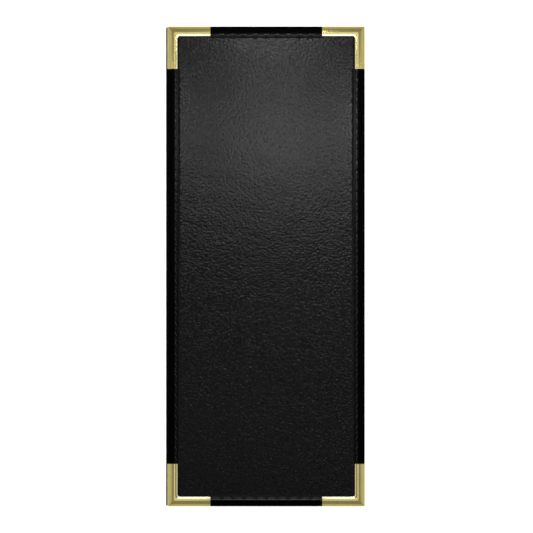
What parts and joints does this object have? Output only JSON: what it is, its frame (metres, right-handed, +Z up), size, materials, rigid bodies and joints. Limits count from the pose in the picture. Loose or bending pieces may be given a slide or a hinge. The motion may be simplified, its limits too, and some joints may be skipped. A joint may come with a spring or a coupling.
{
  "type": "menu cover",
  "caption": "Slim folding menu cover in black leatherette with pressed gilt metal corners, stitched binding and a clear pocket inside each half that holds a menu card.",
  "frame": {"origin": "under the middle of the closed cover, on the surface it lies on", "axes": "+Z up out of the front face, +Y towards the top edge, +X from the spine to the fore edge"},
  "size_m": [0.1206, 0.2922, 0.0076],
  "materials": {
    "leatherette": "black grained leatherette with a soft satin sheen",
    "binding": "black matt edge binding",
    "gilt_metal": "pale gilt, polished with fine rubbing marks",
    "thread": "black waxed sewing thread",
    "board": "grey millboard",
    "lining": "black close-woven lining cloth",
    "clear_film": "clear glossy film",
    "card": "plain cream card"
  },
  "bodies": {
    "back_cover": {"back_binding_bottom": "binding", "back_binding_fore": "binding", "back_binding_spine": "binding", "back_binding_top": "binding", "back_board": "board", "back_corner_bottom_fore": "gilt_metal", "back_corner_bottom_spine": "gilt_metal", "back_corner_top_fore": "gilt_metal", "back_corner_top_spine": "gilt_metal", "back_leather": "leatherette", "back_lining": "lining", "back_pocket": "clear_film", "back_stitching": "thread", "hinge_strip": "leatherette"},
    "front_cover": {"front_binding_bottom": "binding", "front_binding_fore": "binding", "front_binding_spine": "binding", "front_binding_top": "binding", "front_board": "board", "front_corner_bottom_fore": "gilt_metal", "front_corner_bottom_spine": "gilt_metal", "front_corner_top_fore": "gilt_metal", "front_corner_top_spine": "gilt_metal", "front_leather": "leatherette", "front_lining": "lining", "front_pocket": "clear_film", "front_stitching": "thread"},
    "back_card": {"back_menu_card": "card"},
    "front_card": {"front_menu_card": "card"}
  },
  "joints": [
    {"name": "cover_hinge", "type": "hinge", "parent": "back_cover", "child": "front_cover", "pos_m": [-0.06048, 0, 0.0038], "axis": [0, -1, 0], "range_deg": [0, 180]},
    {"name": "front_card_slide", "type": "slide", "parent": "front_cover", "child": "front_card", "axis": [0, 1, 0], "range_m": [0, 0.285]},
    {"name": "back_card_slide", "type": "slide", "parent": "back_cover", "child": "back_card", "axis": [0, 1, 0], "range_m": [0, 0.285]}
  ]
}
